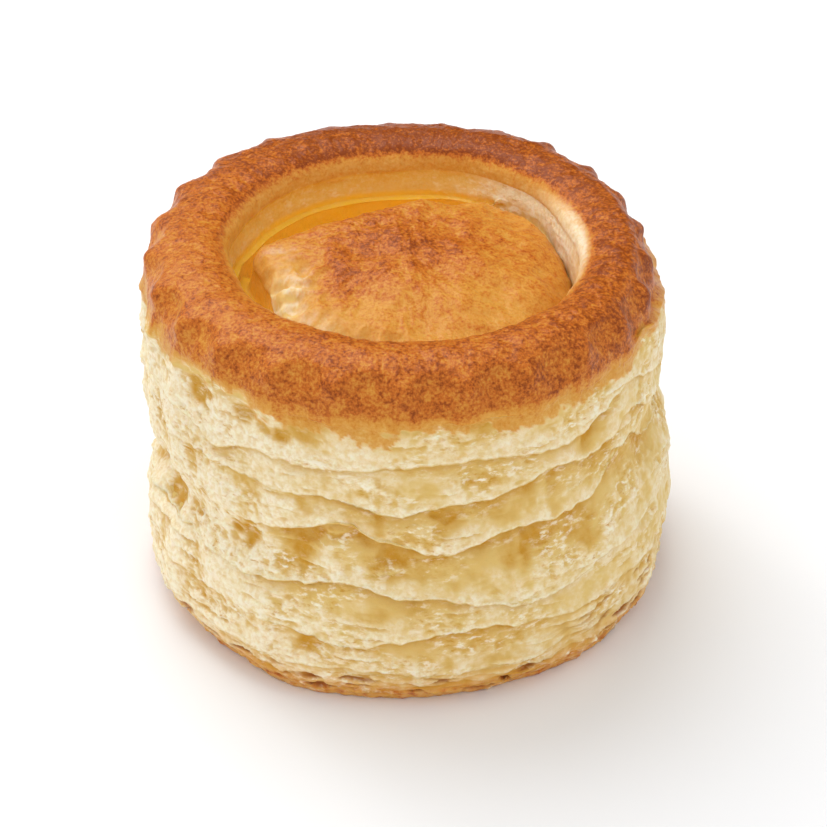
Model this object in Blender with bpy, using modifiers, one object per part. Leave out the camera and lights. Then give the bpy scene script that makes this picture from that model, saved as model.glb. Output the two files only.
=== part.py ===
"""Vol-au-vent: a fluted puff pastry case, baked empty, with its puffed centre in place.

One solid. A profile is turned about the upright axis, and each ring of the turned
form is then pushed to the place that the risen dough takes at each bearing.
Metres, +Z up, base on z = 0. Bearing 270 (towards -Y) is the front, 0 is +X.
"""
import math

import bmesh
import bpy
import numpy as np

MM = 0.001

# Outside
LOBES = 25                      # scallops of the fluted cutter
COLUMNS = 4 * LOBES             # columns round the case
LOBE_BEARING = 269.0            # a lobe points almost to the front
FLUTE_DEPTH = 1.15              # lobe above valley, mm, half each way
FLUTE_BELOW = 0.18              # share of the flutes that runs on down the wall
FLUTE_FROM = (37.2, 57.6)       # flutes start at this radius and fade below this height, mm
PLEAT_DEPTH = 0.45              # upright stretch folds that run on down the left side

# Height above the base, wall radius and sideways lean at that height, mm
WALL = (
    (0.0, 39.6, -0.3), (1.2, 40.5, -0.3), (3.5, 42.1, -0.4), (7.0, 42.7, -0.3),
    (15.0, 42.8, 0.3), (20.5, 42.2, 0.5), (24.5, 41.2, 0.8), (29.0, 40.9, -0.2),
    (34.0, 40.9, -1.0), (38.0, 40.8, -1.1), (44.0, 41.0, -0.8), (49.0, 40.8, -0.9),
    (52.0, 40.8, -1.0), (56.0, 40.5, -1.0),
)
# Dents and bulges of the wall: bearing, spread, height, spread in height, out, mm
WALL_SWELLS = (
    (190.0, 30.0, 25.2, 3.6, -1.7),      # waist at the left
    (348.0, 30.0, 32.0, 3.2, -1.5),      # waist at the right
    (203.0, 16.0, 1.5, 3.0, -1.5),       # base drawn in at the left
    (243.0, 11.0, 0.0, 4.0, 1.3),        # base edge at the front left
    (266.0, 13.0, 0.0, 3.0, 0.8),        # base edge at the front
    (318.0, 15.0, 0.0, 4.0, 0.7),        # base edge at the front right
    (268.0, 30.0, 47.0, 5.0, 0.5),       # smooth collar under the rim
)
# Swells of the crown's outer edge: bearing, spread, out, mm
CROWN_SWELLS = ((6.0, 27.0, -1.7), (62.0, 12.0, 0.9), (127.0, 30.0, 1.1), (187.0, 26.0, -0.5))

# Crown ring: radius and height of each row, from the inner edge out and down, mm
CROWN = (
    (27.6, 56.2), (27.9, 57.6), (29.2, 59.2), (32.4, 60.2), (35.9, 59.9), (38.6, 58.5),
    (40.0, 56.2), (40.7, 53.6),
)
CROWN_WAVE = 0.35               # rise and fall of the crown round the ring

# Puffed centre
DOME_TOP = 58.0
DOME_PEAK = (-2.0, 8.0)         # where it stands highest, mm
DOME_FALL_FRONT = 0.0062        # fall for each squared mm from the peak, by side
DOME_FALL_RIGHT = 0.0069
DOME_FALL_LEFT = 0.0042
DOME_FALL_BACK = 0.017
DOME_DIP = (26.0, -1.0, 5.0, 12.0, 2.0)   # trough beside the ring at the right: x, y, spreads, mm
DOME_STEPS = (0.22, 0.44, 0.64, 0.81, 0.93, 1.0)
DOME_RADIUS = 26.0              # where it stays joined to the ring
DOME_BULGE = 0.45               # lumps on its skin
DOME_SHY = (196.0, 21.0, 3.6)   # it stands back from the ring at the left: bearing, spread, mm
TEAR_BEARING = 114.0            # middle of the crescent gap at the back left
TEAR_OFFSET = 13.7              # the dome's torn edge, from the axis
GAP_FLOOR = 45.0
GROOVE = (180.0, 38.0, 0.50)    # the gap runs on at the left: bearing, spread, share of its depth
RING_INSIDE = 27.5
RING_NEARER = (4.0, 32.0, -1.3) # the ring comes further in at the right: bearing, spread, out, mm
DRIFT_REACH = 2.5               # its inner edge strays from round over this width, mm
LEDGE_OUT = 0.65                # glossy ledge half way up the ring's inner wall
LEDGE_HEIGHT = 51.6

# Leaves of the wall. Each leaf ends below in a lip, and the next one starts under it.
# name, mean height of its lower lip, step in under the lip, bulge of the lip,
# fractions of the rows between crease and lip,
# lifts (bearing, spread, rise), openings (bearing, spread, extra step in), all mm or degrees
LEAVES = (
    ("rim", 51.6, 0.06, 0.0, (),
     ((335.0, 7.0, 1.6), (213.0, 14.0, -0.8), (120.0, 25.0, 0.6)),
     ((224.0, 7.0, 0.9), (205.0, 5.0, 0.8), (251.0, 5.0, 0.5), (60.0, 30.0, 0.3))),
    ("collar", 43.8, 0.35, 0.35, (0.3, 0.7),
     ((278.0, 12.0, 1.3), (326.0, 10.0, 4.2), (226.0, 7.0, -3.0), (150.0, 25.0, 1.2)),
     ((315.0, 6.5, 1.7), (284.0, 16.0, 0.7), (225.0, 7.0, 0.9), (20.0, 22.0, 1.0),
      (120.0, 20.0, 1.1))),
    ("upper fold", 38.0, 0.30, 0.45, (0.35, 0.7),
     ((267.0, 9.0, -2.3), (304.0, 8.0, 1.6), (328.0, 10.0, 3.2), (60.0, 22.0, 1.5)),
     ((270.0, 14.0, 1.3), (303.0, 14.0, 1.5), (40.0, 20.0, 1.2), (160.0, 18.0, 0.6))),
    ("middle fold", 30.8, 0.30, 0.55, (0.4, 0.75),
     ((234.0, 8.0, -1.4), (255.0, 7.0, 2.8), (279.0, 9.0, -1.6), (327.0, 9.0, 6.0),
      (190.0, 14.0, -3.4), (80.0, 24.0, -2.0)),
     ((247.0, 6.0, 2.0), (262.0, 8.0, 1.9), (290.0, 16.0, 1.5), (318.0, 9.0, 1.2),
      (187.0, 18.0, 1.9), (95.0, 22.0, 1.5), (30.0, 15.0, 0.8))),
    ("belly", 20.6, 0.20, 0.30, (0.3, 0.65),
     ((257.0, 9.0, 2.0), (297.0, 14.0, -2.8), (350.0, 18.0, 2.0), (140.0, 22.0, -1.5)),
     ((258.0, 20.0, 0.9), (272.0, 5.0, 0.9), (10.0, 16.0, 0.6), (130.0, 20.0, 0.9))),
    ("lower fold", 13.4, 0.20, 0.30, (0.45,),
     ((255.0, 9.0, -2.4), (283.0, 10.0, 2.0), (80.0, 22.0, 1.6)),
     ((283.0, 14.0, 1.0), (200.0, 14.0, 0.5), (70.0, 24.0, 0.8))),
    ("foot leaf", 6.8, 0.45, 0.15, (0.45,),
     ((307.0, 7.0, 1.3), (287.0, 9.0, -0.6), (352.0, 14.0, 3.0)),
     ((270.0, 22.0, 0.4), (308.0, 10.0, 0.5), (150.0, 30.0, 0.3))),
    ("upper sheet", 4.1, 0.45, 0.10, (),
     ((306.0, 7.0, 1.5), (352.0, 12.0, 2.2), (200.0, 20.0, 0.5)),
     ((262.0, 14.0, 0.3), (318.0, 16.0, 0.4), (100.0, 30.0, 0.3))),
    ("lower sheet", 2.2, 0.40, 0.05, (),
     ((310.0, 10.0, 0.5), (272.0, 8.0, 0.3)),
     ((272.0, 10.0, 0.4), (190.0, 20.0, 0.2))),
)
# Sides where the leaves cling together: bearing, spread, share of the steps that is lost
PLAIN_SIDES = ((210.0, 26.0, 0.85), (350.0, 12.0, 0.5))
LIP_WANDER = 0.45               # small rise and fall of every lip
LEAST_LEAF = 1.15               # no leaf is thinner than this
LIP_HEIGHT = 0.55               # a lip rounds under from this far above its crease
FOOT_ROUND = 0.5                # the lowest sheet rounds under to the base
FOOT_RADIUS = 38.8              # flat underside

CRUST_COLOUR = (0.80, 0.60, 0.33, 1.0)


def wrapped(angle):
    """Degrees brought into -180 to 180."""
    return (angle + 180.0) % 360.0 - 180.0


def swell(bearing, centre, spread):
    """1 at a bearing, falling to 0 over a few spreads either side."""
    return np.exp(-(wrapped(bearing - centre) / spread) ** 2)


def step(value):
    """0 to 1 with a soft start and end."""
    value = np.clip(value, 0.0, 1.0)
    return value * value * (3.0 - 2.0 * value)


def wander(bearing, seed, first=3, last=17):
    """A wave round the case, about -1 to 1, made of whole turns so that it closes."""
    draw = np.random.default_rng(seed)
    total = np.zeros_like(bearing)
    for turns in range(first, last, 2):
        phase = draw.uniform(0.0, 2.0 * math.pi)
        total += np.sin(np.radians(bearing) * turns + phase) * draw.uniform(0.3, 1.0)
    return total / math.sqrt(0.5 * 0.5 * len(range(first, last, 2))) * 0.5


def flute(bearing):
    """Scallop of the cutter: 1 at a lobe, -1 in a valley, slightly pulled about."""
    drift = 2.6 * np.sin(np.radians(2.0 * bearing + 35.0)) + 1.2 * wander(bearing, 5, 3, 9)
    turn = np.radians(LOBES * (bearing - LOBE_BEARING) - drift * LOBES * 0.35)
    rounded = np.cos(turn + 0.35 * np.sin(turn))
    return rounded * (0.85 + 0.25 * wander(bearing, 6, 5, 15))


def wall_radius(bearing, height):
    """Wall without its folds at a bearing and height, with the lean added."""
    levels, radii, leans = zip(*WALL)
    radius = np.interp(height, levels, radii)
    lean = np.interp(height, levels, leans)
    radius = radius + lean * np.cos(np.radians(bearing))
    for centre, spread, level, reach, out in WALL_SWELLS:
        radius = radius + out * swell(bearing, centre, spread) * np.exp(-((height - level) / reach) ** 2)
    return radius


def wall_relief(bearing, height):
    """Flutes under the rim, pleats down the left side and slow lumps, mm."""
    top = step((height - 44.0) / 8.0)
    left = swell(bearing, 188.0, 42.0)
    low = step((18.0 - height) / 14.0)
    pleats = flute(bearing + 0.08 * (50.0 - height))
    lumps = wander(bearing + 0.9 * height, 21, 4, 14) * 0.35
    return pleats * (FLUTE_DEPTH * FLUTE_BELOW * top + PLEAT_DEPTH * left * (1.0 - 0.7 * low)) + lumps


def lip_heights(bearing):
    """Height of every leaf's lower lip round the case, kept in order from the top."""
    rows = []
    for index, (_, mean, _, _, _, lifts, _) in enumerate(LEAVES):
        height = mean + LIP_WANDER * min(1.0, mean / 14.0) * wander(bearing, 40 + index)
        for centre, spread, rise in lifts:
            height = height + rise * swell(bearing, centre, spread)
        if index == 0:
            height = height - 0.2 * flute(bearing)
        else:
            height = np.minimum(height, rows[-1] - LEAST_LEAF)
        rows.append(height)
    return rows


def lip_steps(bearing):
    """How far the wall steps in under every lip round the case."""
    rows = []
    for index, (_, _, least, _, _, _, openings) in enumerate(LEAVES):
        depth = least * (1.0 + 0.3 * wander(bearing, 70 + index))
        for centre, spread, extra in openings:
            depth = depth + extra * swell(bearing, centre, spread)
        for centre, spread, share in PLAIN_SIDES:
            depth = depth * (1.0 - share * swell(bearing, centre, spread))
        rows.append(np.clip(depth, 0.12, 2.6))
    return rows


def dome_edge(bearing):
    """Radius of the puffed centre: round, but torn off along a chord at the back left."""
    across = np.cos(np.radians(wrapped(bearing - TEAR_BEARING)))
    chord = TEAR_OFFSET / np.maximum(across, 0.30) + 0.12 * wander(bearing, 90, 5, 15)
    shy_at, shy_spread, shy = DOME_SHY
    joined = DOME_RADIUS - shy * swell(bearing, shy_at, shy_spread)
    soft = 1.6
    return -soft * np.log(np.exp(-chord / soft) + np.exp(-joined / soft))


def dome_height(x, y):
    """Skin of the puffed centre over a point inside the ring, mm."""
    ahead = np.minimum(0.0, y - DOME_PEAK[1])
    aside = x - DOME_PEAK[0]
    behind = np.maximum(0.0, y - DOME_PEAK[1]) * step((x + 4.0) / 12.0)
    fall = np.where(aside > 0.0, DOME_FALL_RIGHT, DOME_FALL_LEFT)
    height = DOME_TOP - DOME_FALL_FRONT * ahead ** 2 - fall * aside ** 2
    dip_x, dip_y, reach_x, reach_y, dip = DOME_DIP
    height = height - DOME_FALL_BACK * behind ** 2
    height = height - dip * np.exp(-((x - dip_x) / reach_x) ** 2 - ((y - dip_y) / reach_y) ** 2)
    folds = np.sin(0.42 * x + 0.25 * y + 1.0) * np.sin(0.30 * y - 0.18 * x + 0.4)
    front_left = np.exp(-((x + 13.0) / 9.0) ** 2 - ((y + 12.0) / 9.0) ** 2)
    creases = np.sin(0.9 * x + 0.75 * y) * front_left
    torn = np.exp(-((x + 8.0) / 14.0) ** 2 - ((y - 10.0) / 8.0) ** 2)
    return height + DOME_BULGE * folds * (1.0 - torn) + 0.7 * creases


def ring_drift(bearing):
    """How far the ring's inner edge strays from round, mm."""
    centre, spread, out = RING_NEARER
    return 0.35 * wander(bearing, 95, 4, 12) + out * swell(bearing, centre, spread)


def open_share(bearing):
    """1 where the centre has torn away from the ring, 0 where the two are joined."""
    torn = step((RING_INSIDE - 1.8 - dome_edge(bearing)) / 6.0)
    centre, spread, share = GROOVE
    return np.maximum(torn, share * swell(bearing, centre, spread))


def centre_rows(bearing):
    """Rows of the puffed centre, the gap beside it and the ring's inner wall."""
    turn = np.radians(bearing)
    edge = dome_edge(bearing)
    gap = open_share(bearing)
    rows = []
    for share in DOME_STEPS:
        radius = edge * share
        height = dome_height(radius * np.cos(turn), radius * np.sin(turn))
        drop = 0.35 * step((share - 0.85) / 0.1) + 1.5 * step((share - 0.93) / 0.07)
        rows.append((radius, height - drop))
    edge_height = rows[-1][1]
    floor = edge_height * (1.0 - gap) + GAP_FLOOR * gap - 0.7 * (1.0 - gap)
    inside = RING_INSIDE + ring_drift(bearing)
    rows.append((edge + 0.5 + 1.0 * gap, floor))
    rows.append((inside - 0.45 - 1.2 * gap, floor + 0.2 + 0.6 * gap))
    crown = CROWN[0][1]
    ledge = LEDGE_HEIGHT * gap + 0.5 * (floor + crown) * (1.0 - gap)
    for share, out in ((0.0, LEDGE_OUT), (0.18, 0.1)):
        rows.append((inside - 0.1 - out * gap, ledge + (crown - ledge) * share))
    return rows


def crown_rows(bearing):
    """Rows of the browned ring, from its inner edge over the top and down outside."""
    rows = []
    wave = CROWN_WAVE * wander(bearing, 11, 2, 9) - 0.5 * swell(bearing, 20.0, 45.0)
    swells = sum(out * swell(bearing, centre, spread) for centre, spread, out in CROWN_SWELLS)
    for radius, height in CROWN:
        out = step((radius - 33.0) / 7.0)
        lean = WALL[-1][2] * np.cos(np.radians(bearing))
        moved = radius + (swells + lean) * out
        edge = step((radius - FLUTE_FROM[0]) / 2.0)
        edge = edge * (1.0 - (1.0 - FLUTE_BELOW) * step((FLUTE_FROM[1] - height) / 3.0))
        moved = moved + FLUTE_DEPTH * edge * flute(bearing)
        moved = moved + ring_drift(bearing) * (1.0 - step((radius - RING_INSIDE) / DRIFT_REACH))
        rows.append((moved, height + wave * (0.6 + 0.4 * out)))
    return rows


def wall_rows(bearing):
    """Rows of the leaves down the wall: a crease, the leaf's face and its lip, in turn."""
    lips = lip_heights(bearing)
    steps = lip_steps(bearing)
    rows = []
    for index, (_, _, _, bulge, faces, _, _) in enumerate(LEAVES):
        lip = lips[index]
        out = wall_radius(bearing, lip) + wall_relief(bearing, lip) + bulge
        if index > 0:
            top = lips[index - 1]
            thick = np.minimum(LIP_HEIGHT, 0.35 * (top - lip))
            for share in faces:
                height = top + (lip + thick - top) * share
                recess = steps[index - 1] * (1.0 - share) ** 1.6
                face = wall_radius(bearing, height) + wall_relief(bearing, height)
                rows.append((face - recess + bulge * share, height))
            rows.append((out, lip + thick))
        else:
            rows.append((out, lip + LIP_HEIGHT))
        rows.append((out - steps[index], lip + 0.05))
    foot = wall_radius(bearing, FOOT_ROUND) + wall_relief(bearing, FOOT_ROUND)
    rows.append((foot, np.full_like(bearing, FOOT_ROUND)))
    rows.append((foot - (42.0 - FOOT_RADIUS) * 0.45, np.zeros_like(bearing)))
    return rows


def shape_rows(bearing):
    """Radius and height of every ring between the two poles, mm."""
    rows = centre_rows(bearing) + crown_rows(bearing) + wall_rows(bearing)
    return [(np.asarray(radius), np.broadcast_to(height, bearing.shape))
            for radius, height in rows]


def clear_scene():
    """Remove whatever objects the scene holds."""
    for item in list(bpy.data.objects):
        bpy.data.objects.remove(item, do_unlink=True)


def new_collection(name):
    """Make a collection in the scene."""
    collection = bpy.data.collections.new(name)
    bpy.context.scene.collection.children.link(collection)
    return collection


def crust_material():
    """Baked puff pastry."""
    material = bpy.data.materials.new("baked_puff_pastry")
    material.use_nodes = True
    shader = material.node_tree.nodes["Principled BSDF"]
    shader.inputs["Base Color"].default_value = CRUST_COLOUR
    shader.inputs["Roughness"].default_value = 0.6
    return material


def turned_form(rows, top, collection):
    """Turn the mean profile about the axis. Each vertex keeps its row's number."""
    points = [(0.0, 0.0, top * MM)]
    points += [(radius.mean() * MM, 0.0, height.mean() * MM) for radius, height in rows]
    points.append((0.0, 0.0, 0.0))
    mesh = bpy.data.meshes.new("profile")
    mesh.from_pydata(points, [(i, i + 1) for i in range(len(points) - 1)], [])
    row = mesh.attributes.new("row", "INT", "POINT")
    row.data.foreach_set("value", list(range(len(points))))
    profile = bpy.data.objects.new("profile", mesh)
    collection.objects.link(profile)
    turn = profile.modifiers.new("Turn", "SCREW")
    turn.axis = "Z"
    turn.angle = 2.0 * math.pi
    turn.steps = COLUMNS
    turn.render_steps = COLUMNS
    turn.use_merge_vertices = True
    turn.merge_threshold = 0.00001
    turn.use_smooth_shade = True
    bpy.context.view_layer.update()
    ready = profile.evaluated_get(bpy.context.evaluated_depsgraph_get())
    form = bpy.data.meshes.new_from_object(ready)
    bpy.data.objects.remove(profile, do_unlink=True)
    return form


def knead(form, rows):
    """Push each vertex of the turned form to its own radius and height."""
    numbers = np.zeros(len(form.vertices), dtype=np.int32)
    form.attributes["row"].data.foreach_get("value", numbers)
    for vertex, number in zip(form.vertices, numbers):
        if 0 < number <= len(rows):
            bearing = math.atan2(vertex.co.y, vertex.co.x)
            column = round(math.degrees(bearing) % 360.0 * COLUMNS / 360.0) % COLUMNS
            radius, height = rows[number - 1]
            vertex.co = (radius[column] * MM * math.cos(bearing),
                         radius[column] * MM * math.sin(bearing), height[column] * MM)


def settle(form):
    """Split the faces into triangles and stand the form on the origin's plane, centred."""
    work = bmesh.new()
    work.from_mesh(form)
    bmesh.ops.triangulate(work, faces=work.faces, quad_method="SHORT_EDGE")
    bmesh.ops.recalc_face_normals(work, faces=work.faces)
    places = np.array([vertex.co for vertex in work.verts])
    low, high = places.min(axis=0), places.max(axis=0)
    shift = ((low + high) * -0.5)
    for vertex in work.verts:
        vertex.co.x += shift[0]
        vertex.co.y += shift[1]
        vertex.co.z -= low[2]
    work.to_mesh(form)
    work.free()


def build():
    """Make the pastry case."""
    clear_scene()
    case = new_collection("vol_au_vent")
    bearing = np.arange(COLUMNS) * 360.0 / COLUMNS
    rows = shape_rows(bearing)
    top = float(dome_height(np.float64(0.0), np.float64(0.0)))
    form = turned_form(rows, top, case)
    knead(form, rows)
    settle(form)
    form.name = "pastry_case"
    form.materials.append(crust_material())
    case.objects.link(bpy.data.objects.new("pastry_case", form))


build()
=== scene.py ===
"""Vol-au-vent: a fluted puff pastry case, baked empty, with its puffed centre in place.

The crust is a skin of rings round the upright axis: the puffed centre, the torn gap beside
it, the browned ring, the leaves of the wall and the flat underside. It is made in three
closed slices that part inside a crease of the wall.
Lengths are in millimetres until a mesh is made. Bearing 270 is the front, 0 is +X.
"""
from __future__ import annotations

import logging
import math
from dataclasses import dataclass, field, fields
from enum import Enum
from functools import cached_property
from typing import ClassVar

import bpy
import numpy as np
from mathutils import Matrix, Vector

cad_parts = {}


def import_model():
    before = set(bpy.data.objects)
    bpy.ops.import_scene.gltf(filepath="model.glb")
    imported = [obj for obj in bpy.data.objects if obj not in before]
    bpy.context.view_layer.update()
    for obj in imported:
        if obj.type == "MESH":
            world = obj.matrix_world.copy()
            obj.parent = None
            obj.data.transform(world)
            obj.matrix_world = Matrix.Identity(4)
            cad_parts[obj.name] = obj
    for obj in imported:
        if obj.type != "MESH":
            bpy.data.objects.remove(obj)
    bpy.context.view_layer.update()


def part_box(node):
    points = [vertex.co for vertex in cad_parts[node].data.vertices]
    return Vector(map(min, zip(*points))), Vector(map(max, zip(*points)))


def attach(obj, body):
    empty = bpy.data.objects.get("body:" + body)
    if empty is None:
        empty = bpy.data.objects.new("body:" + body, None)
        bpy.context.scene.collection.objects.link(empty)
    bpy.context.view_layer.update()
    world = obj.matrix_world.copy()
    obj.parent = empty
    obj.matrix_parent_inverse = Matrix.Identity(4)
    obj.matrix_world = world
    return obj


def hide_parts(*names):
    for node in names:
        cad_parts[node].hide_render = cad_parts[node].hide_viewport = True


LOG = logging.getLogger("vol_au_vent")
MM = 0.001
NODE = "pastry_case"
Grid = np.ndarray
# Side: bearing, spread in degrees and amount. Spot: x, y, reach across, reach along and amount.
Side = tuple[float, float, float]
Spot = tuple[float, float, float, float, float]


def linear(colour: str) -> tuple[float, float, float, float]:
    """Turn an sRGB hex colour to linear light.

    Args:
        colour: six hex digits, with a leading #.

    Returns:
        Red, green, blue and an alpha of 1.
    """
    parts = [int(colour[i:i + 2], 16) / 255.0 for i in (1, 3, 5)]
    light = [c / 12.92 if c <= 0.04045 else ((c + 0.055) / 1.055) ** 2.4 for c in parts]
    return light[0], light[1], light[2], 1.0


def add_node(tree: bpy.types.NodeTree, kind: str, inputs: dict | None = None,
             **settings: object) -> bpy.types.Node:
    """Add a node with its settings, values and links.

    Args:
        tree: the material's node tree.
        kind: the node's type name.
        inputs: input name or number, to a value or to the output socket that feeds it.
        **settings: properties of the node itself.

    Returns:
        The new node.
    """
    made = tree.nodes.new(kind)
    for name, value in settings.items():
        setattr(made, name, value)
    for key, value in (inputs or {}).items():
        if isinstance(value, bpy.types.NodeSocket):
            tree.links.new(value, made.inputs[key])
        else:
            made.inputs[key].default_value = value
    return made


def wrapped(angle: Grid) -> Grid:
    """Bring degrees into -180 to 180."""
    return (angle + 180.0) % 360.0 - 180.0


def swell(bearing: Grid, centre: float, spread: float) -> Grid:
    """Give 1 at a bearing, falling to 0 over a few spreads either side."""
    return np.exp(-(wrapped(bearing - centre) / spread) ** 2)


def swells(bearing: Grid, *sides: Side) -> Grid:
    """Add up swells of different amounts."""
    return sum(amount * swell(bearing, centre, spread) for centre, spread, amount in sides)


def mounds(x: Grid, y: Grid, *spots: Spot) -> Grid:
    """Add up round mounds of different amounts.

    Args:
        x: places across the case.
        y: places along it, from front to back.
        *spots: the mounds.

    Returns:
        Their sum at every place.
    """
    return sum(amount * np.exp(-((x - at_x) / reach_x) ** 2 - ((y - at_y) / reach_y) ** 2)
               for at_x, at_y, reach_x, reach_y, amount in spots)


def ease(value: Grid) -> Grid:
    """Go from 0 to 1 with a soft start and end."""
    value = np.clip(value, 0.0, 1.0)
    return value * value * (3.0 - 2.0 * value)


def wander(bearing: Grid, seed: int, first: int = 3, last: int = 17) -> Grid:
    """Make a wave round the case out of whole turns, so that it closes.

    Args:
        bearing: degrees round the case.
        seed: seed of the phases and strengths.
        first: fewest waves in a turn.
        last: the waves in a turn stay below this.

    Returns:
        Values from about -1 to 1.
    """
    draw = np.random.default_rng(seed)
    total = np.zeros_like(bearing)
    for turns in range(first, last, 2):
        phase = draw.uniform(0.0, 2.0 * math.pi)
        total += np.sin(np.radians(bearing) * turns + phase) * draw.uniform(0.3, 1.0)
    return total / math.sqrt(len(range(first, last, 2)))


def soften(values: Grid, times: int) -> Grid:
    """Average every value with its neighbours along and across the rings.

    Args:
        values: rings by columns by anything.
        times: how often to do it.

    Returns:
        The softened values, in the same shape.
    """
    for _ in range(times):
        beside = np.roll(values, 1, axis=1) + np.roll(values, -1, axis=1)
        values = 0.5 * values + 0.25 * beside
        padded = np.concatenate([values[:1], values, values[-1:]])
        values = 0.5 * values + 0.25 * (padded[:-2] + padded[2:])
    return values


def smooth_line(at: Grid, run: Grid, values: Grid) -> Grid:
    """Pass a smooth curve through values.

    Args:
        at: distances to read the curve at.
        run: distance of each value along the curve.
        values: the values to pass through.

    Returns:
        The curve's values at those distances.
    """
    slope = np.gradient(values, run)
    place = np.clip(np.searchsorted(run, at, side="right") - 1, 0, len(run) - 2)
    width = run[place + 1] - run[place]
    t = (at - run[place]) / width
    rise = values[place + 1] - values[place]
    first = slope[place] * width - rise
    second = rise - slope[place + 1] * width
    return values[place] + rise * t + t * (1.0 - t) * ((1.0 - t) * first + t * second)


class CrumbNoise:
    """Seeded gradient noise over points in millimetres."""

    def __init__(self, seed: int) -> None:
        """Draw the lattice's order and directions.

        Args:
            seed: seed of both.
        """
        draw = np.random.default_rng(seed)
        order = draw.permutation(256)
        self.order = np.concatenate([order, order, order])
        ways = draw.normal(size=(256, 3))
        self.ways = ways / np.linalg.norm(ways, axis=1, keepdims=True)

    def at(self, points: Grid, size: float | tuple[float, float, float]) -> Grid:
        """Read the noise at points.

        Args:
            points: array whose last axis is x, y, z.
            size: width of a lump, one for all axes or one for each.

        Returns:
            Values from about -1 to 1.
        """
        scaled = points / np.asarray(size)
        cell = np.floor(scaled).astype(np.int64)
        inside = scaled - cell
        fade = inside ** 3 * (inside * (inside * 6.0 - 15.0) + 10.0)
        total = np.zeros(points.shape[:-1])
        for corner in range(8):
            step = np.array([corner & 1, corner >> 1 & 1, corner >> 2 & 1])
            key = (cell + step) & 255
            draw = self.order[self.order[self.order[key[..., 0]] + key[..., 1]] + key[..., 2]]
            slope = (self.ways[draw] * (inside - step)).sum(axis=-1)
            weight = np.where(step == 1, fade, 1.0 - fade).prod(axis=-1)
            total += slope * weight
        return total * 1.6

    def rough(self, points: Grid, size: float, octaves: int = 3) -> Grid:
        """Add finer and fainter noise to a first size.

        Args:
            points: array whose last axis is x, y, z.
            size: width of the widest lumps.
            octaves: how many sizes, each half of the one before.

        Returns:
            Values from about -1 to 1.
        """
        total = np.zeros(points.shape[:-1])
        for octave in range(octaves):
            total += self.at(points + 17.3 * octave, size / 2.0 ** octave) / 2.0 ** octave
        return total

    def laminations(self, points: Grid, pitch: float) -> tuple[Grid, Grid]:
        """Stack thin sheets whose lower edges stand out in broken runs.

        Args:
            points: array whose last axis is x, y, z.
            pitch: thickness of a sheet.

        Returns:
            How far each point stands out, and how deep it lies under the sheet above,
            both from 0 to 1.
        """
        warp = 0.9 * self.at(points + 33.0, (13.0, 13.0, 8.0)) + 0.3 * self.at(points, 4.0)
        level = (points[..., 2] + warp * min(1.0, pitch)) / pitch
        sheet = np.floor(level)
        above = level - sheet
        runs = []
        for number in (sheet, sheet + 1.0):
            edge = points.copy()
            edge[..., 2] = number * 37.0
            runs.append(np.clip(0.1 + 1.5 * self.rough(edge, 6.5, 2), 0.0, 1.0))
        out = (1.0 - above) ** 1.4 * runs[0]
        return out, ease((above - 0.45) / 0.5) * runs[1]


class Zone(Enum):
    """Parts of the skin that baked differently."""

    CENTRE = 0
    GAP = 1
    CROWN = 2
    WALL = 3
    BASE = 4
    HIDDEN = 5


@dataclass(frozen=True)
class Relief:
    """Depths of the skin's own lumps in one zone, in millimetres."""

    lumps: float = 0.0
    blisters: float = 0.0
    grain: float = 0.0
    sheets: float = 0.0
    strings: float = 0.0
    pits: float = 0.0
    webs: float = 0.0


RELIEFS = {
    Zone.CENTRE: Relief(0.22, 0.30, 0.10),
    Zone.GAP: Relief(0.15, 0.08, 0.04, sheets=0.5, webs=0.12),
    Zone.CROWN: Relief(0.22, 0.20, 0.10),
    Zone.WALL: Relief(0.50, 0.12, 0.06, sheets=0.75, strings=0.40, pits=0.7, webs=0.36),
    Zone.BASE: Relief(0.25, 0.14, 0.10, sheets=1.1, pits=0.4, webs=0.30),
}
# The hidden side of a parting is raised with the wall, so that it stays shut.
RELIEFS[Zone.HIDDEN] = RELIEFS[Zone.WALL]


@dataclass(frozen=True)
class Leaf:
    """One leaf of risen dough in the wall, ending below in a lip.

    Lifts raise the lip and openings deepen the step in under it, in millimetres.
    """

    name: str
    lip: float
    least_step: float
    bulge: float
    lifts: tuple[Side, ...]
    openings: tuple[Side, ...]
    bake: float = 0.0


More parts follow.
